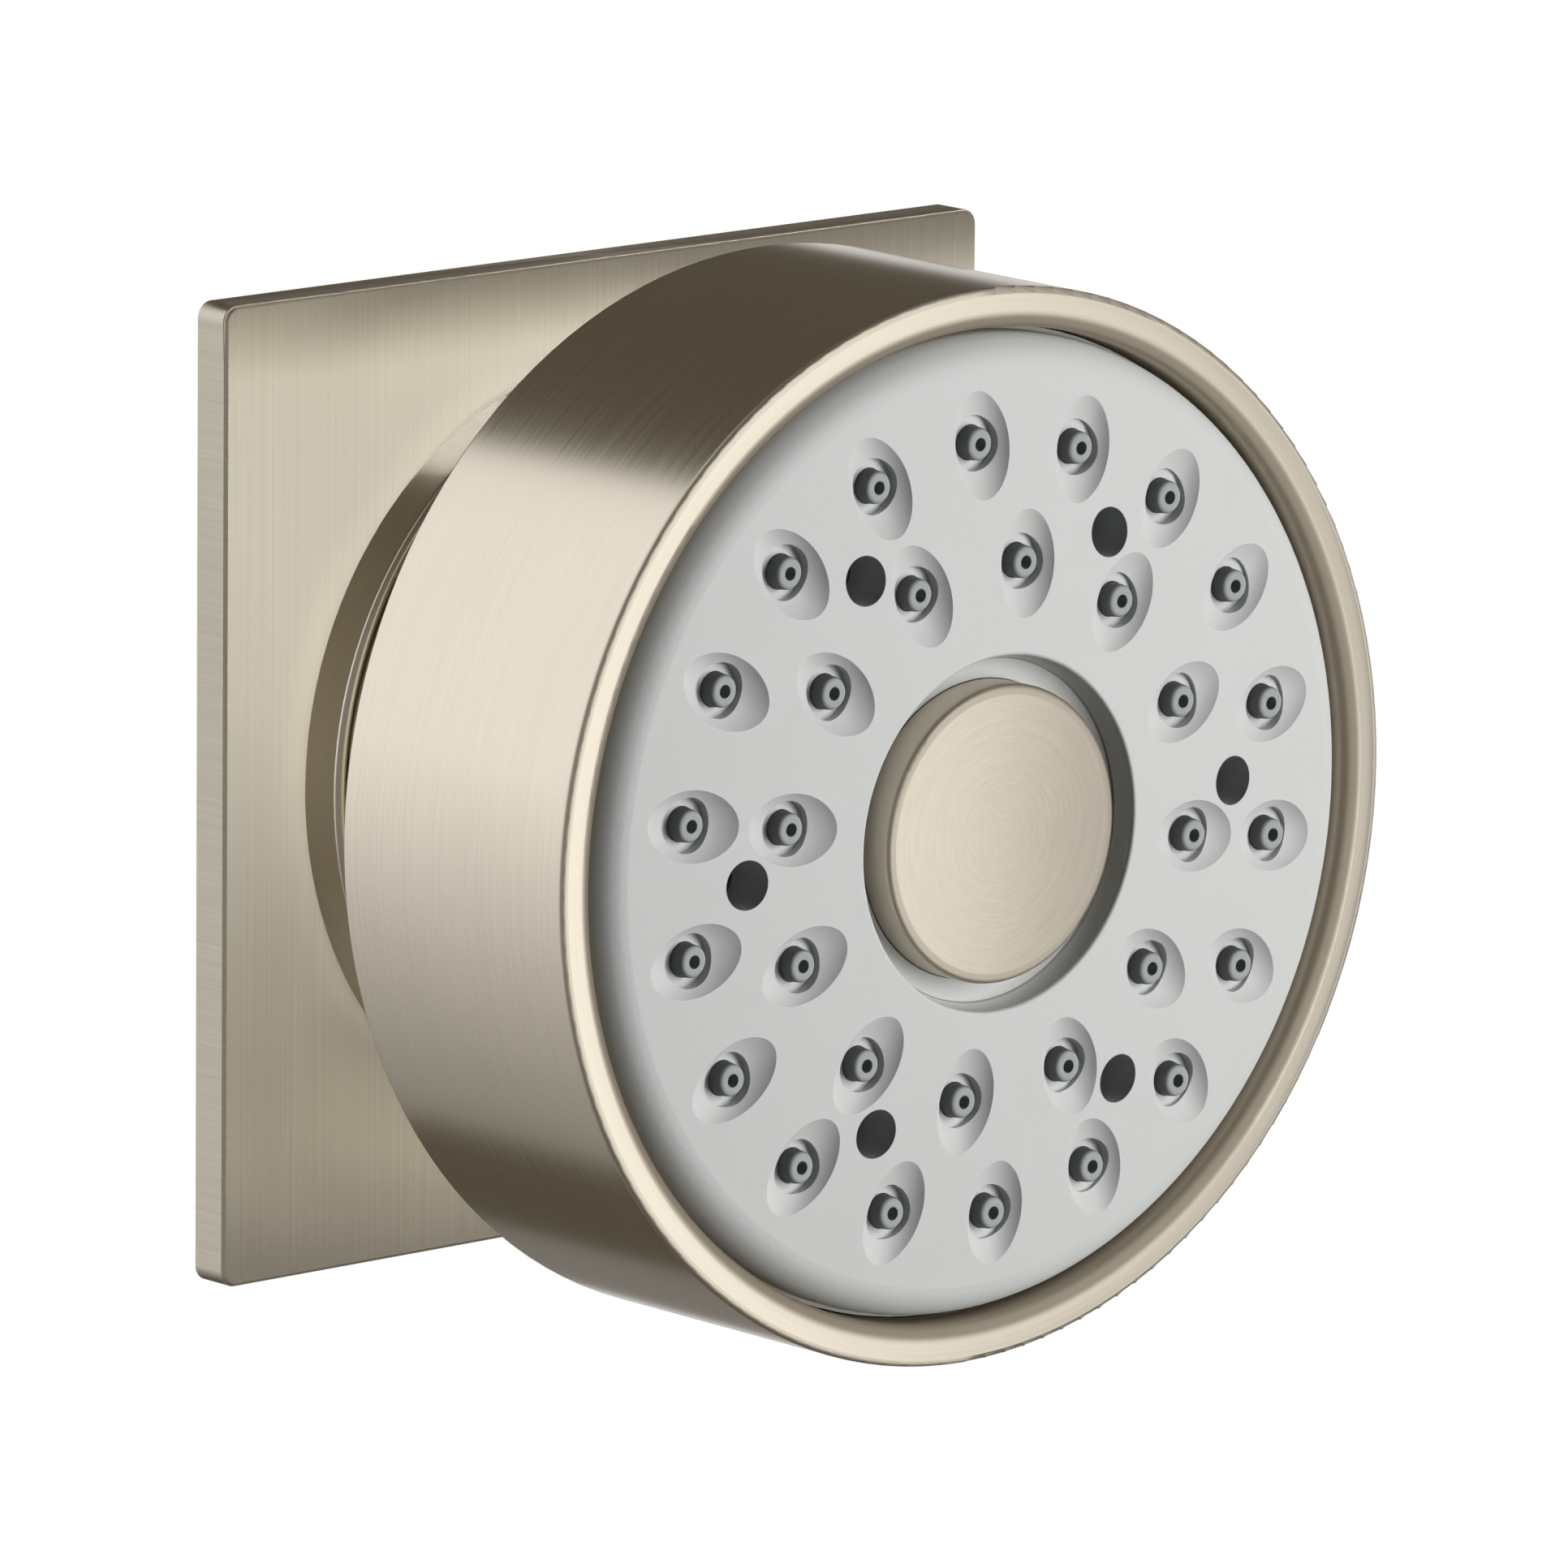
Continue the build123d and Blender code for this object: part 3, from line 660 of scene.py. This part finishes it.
def make_camera():
    back = compass(CAMERA_AZIMUTH, CAMERA_ELEVATION)
    level_right = (-back).cross(Vector((0, 0, 1))).normalized()
    level_up = level_right.cross(-back)
    roll = math.radians(CAMERA_ROLL)
    right = level_right * math.cos(roll) + level_up * math.sin(roll)
    up = level_up * math.cos(roll) - level_right * math.sin(roll)
    camera = bpy.data.objects.new("camera", bpy.data.cameras.new("camera"))
    bpy.context.scene.collection.objects.link(camera)
    turn = Matrix((right, up, back)).transposed().to_4x4()
    place = back * CAMERA_DISTANCE + right * CAMERA_ACROSS + up * CAMERA_UP
    camera.matrix_world = Matrix.Translation(place) @ turn
    camera.data.sensor_fit = "HORIZONTAL"
    camera.data.sensor_width = SENSOR_WIDTH
    camera.data.lens = SENSOR_WIDTH * FOCAL_PIXELS / PHOTO_PIXELS
    camera.data.clip_start = 0.05
    camera.data.clip_end = 20.0
    bpy.context.scene.camera = camera
    bpy.context.scene.view_settings.view_transform = "Standard"


def panel(where, left, right, low, high, soft_sides, soft_ends=0.1, lean=0.0, brightness=1.0):
    """The brightness of a panel of the studio, from one azimuth to another and between two heights."""
    x, y, z = where
    mask = z.rise(low - soft_ends, low + soft_ends) * (1 - z.rise(high - soft_ends, high + soft_ends))
    for azimuth, side in ((left, 1), (right, -1)):
        angle = math.radians(azimuth)
        past = x * (math.cos(angle) * side) + y * (math.sin(angle) * side) + z * (lean * side)
        mask = mask * past.rise(-soft_sides, soft_sides)
    return mask * brightness


def studio_world():
    """A dim room with soft panels round it. The camera sees plain white behind the part."""
    world = bpy.data.worlds.new("studio")
    world.use_nodes = True
    bpy.context.scene.world = world
    world.node_tree.nodes.clear()
    nodes = Nodes(world.node_tree)
    in_gloss = nodes.ray("Is Glossy Ray").most(nodes.ray("Is Transmission Ray"))
    where = nodes.parts(nodes.node("ShaderNodeTexCoord", output="Generated"))
    height = where[2]
    up_the_panel = (height * LEFT_BACK_RISE + LEFT_BACK_LEVEL).least(1.0).most(LEFT_BACK_LEAST)
    light = panel(where, **LEFT_BACK_PANEL) * up_the_panel
    light = light * (in_gloss * (1 - LEFT_BACK_ON_DULL) + LEFT_BACK_ON_DULL)
    for settings in PANELS:
        light = light + panel(where, **settings)
    light = light + panel(where, **CAMERA_SIDE_PANEL) * in_gloss
    dim = nodes.blend(in_gloss, ROOM_ON_DULL, ROOM_IN_GLOSS)
    lit = nodes.blend(light, dim, WHITE)
    seen = nodes.blend(nodes.ray("Is Camera Ray"), lit, WHITE)
    sky = nodes.node("ShaderNodeBackground", {}, {"Color": seen, "Strength": 1.0})
    nodes.node("ShaderNodeOutputWorld", {}, {"Surface": sky}, output=None)


def softbox(name, aim, azimuth, elevation, distance, width, height, brightness):
    """An area lamp of a given brightness that faces a point."""
    lamp = bpy.data.lights.new(name, "AREA")
    lamp.shape = "RECTANGLE"
    lamp.size = width
    lamp.size_y = height
    lamp.energy = brightness * WHITE_LAMP * width * height
    holder = bpy.data.objects.new(name, lamp)
    bpy.context.scene.collection.objects.link(holder)
    towards = compass(azimuth, elevation)
    holder.location = aim + towards * distance
    holder.rotation_euler = towards.to_track_quat("Z", "Y").to_euler()
    holder.visible_camera = False
    return holder


def group_of(name, things):
    """A collection of objects, outside the scene, that a lamp can be linked to."""
    collection = bpy.data.collections.new(name)
    for thing in things:
        collection.objects.link(thing)
    return collection


def front_strips(receivers):
    """Tall strips of light side by side, which only the receivers see, and only in their gloss."""
    for number, (left, right, brightness) in enumerate(FRONT_STRIPS):
        strip = softbox(
            f"front_strip_{number}",
            MIDDLE,
            azimuth=(left + right) / 2,
            elevation=0,
            distance=STRIP_DISTANCE,
            width=2 * STRIP_DISTANCE * math.tan(math.radians(right - left) / 2),
            height=STRIP_HEIGHT,
            brightness=brightness,
        )
        strip.visible_diffuse = False
        strip.light_linking.receiver_collection = receivers


def lone_softbox(name, node, aim, settings):
    """A softbox for one node, which it lights in its gloss and which nothing else shades."""
    lamp = softbox(name, aim, **settings)
    lamp.visible_diffuse = False
    lamp.data.cycles.use_multiple_importance_sampling = False
    alone = group_of(f"only_{node.name}", [node])
    lamp.light_linking.receiver_collection = alone
    lamp.light_linking.blocker_collection = alone


def light_the_studio():
    """A key light, tall strips that the plate doesn't see, and boxes for plate and cover ring alone."""
    studio_world()
    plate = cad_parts["wall_plate"]
    others = group_of("beside_the_plate", [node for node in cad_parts.values() if node != plate])
    key = softbox("tall_softbox", MIDDLE, **KEY_SOFTBOX)
    key.visible_glossy = False
    front_strips(others)
    lone_softbox("plate_softbox", plate, PLATE_AIM, PLATE_SOFTBOX)
    lone_softbox("cover_ring_softbox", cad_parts["cover_ring"], COVER_AIM, COVER_SOFTBOX)


def lay_the_floor():
    """A pale floor that looks white to the camera but for the part's shadow."""
    shape = bmesh.new()
    bmesh.ops.create_grid(shape, x_segments=1, y_segments=1, size=FLOOR_REACH)
    bmesh.ops.translate(shape, verts=shape.verts, vec=(0, 0, FLOOR_HEIGHT))
    floor = object_from("floor", shape)
    finish = Finish("pale_floor", Base_Color=FLOOR_GREY, Roughness=0.9, Emission_Strength=FLOOR_GLOW)
    finish.surface(Emission_Color=finish.blend(finish.ray("Is Camera Ray"), BLACK, WHITE))
    set_material(floor, finish)
    floor.visible_glossy = False
    floor.visible_shadow = False


make_camera()
light_the_studio()
lay_the_floor()
finishes = make_finishes()
dress_the_nodes(finishes)
threaded_nipple(finishes["inlet_nipple"])
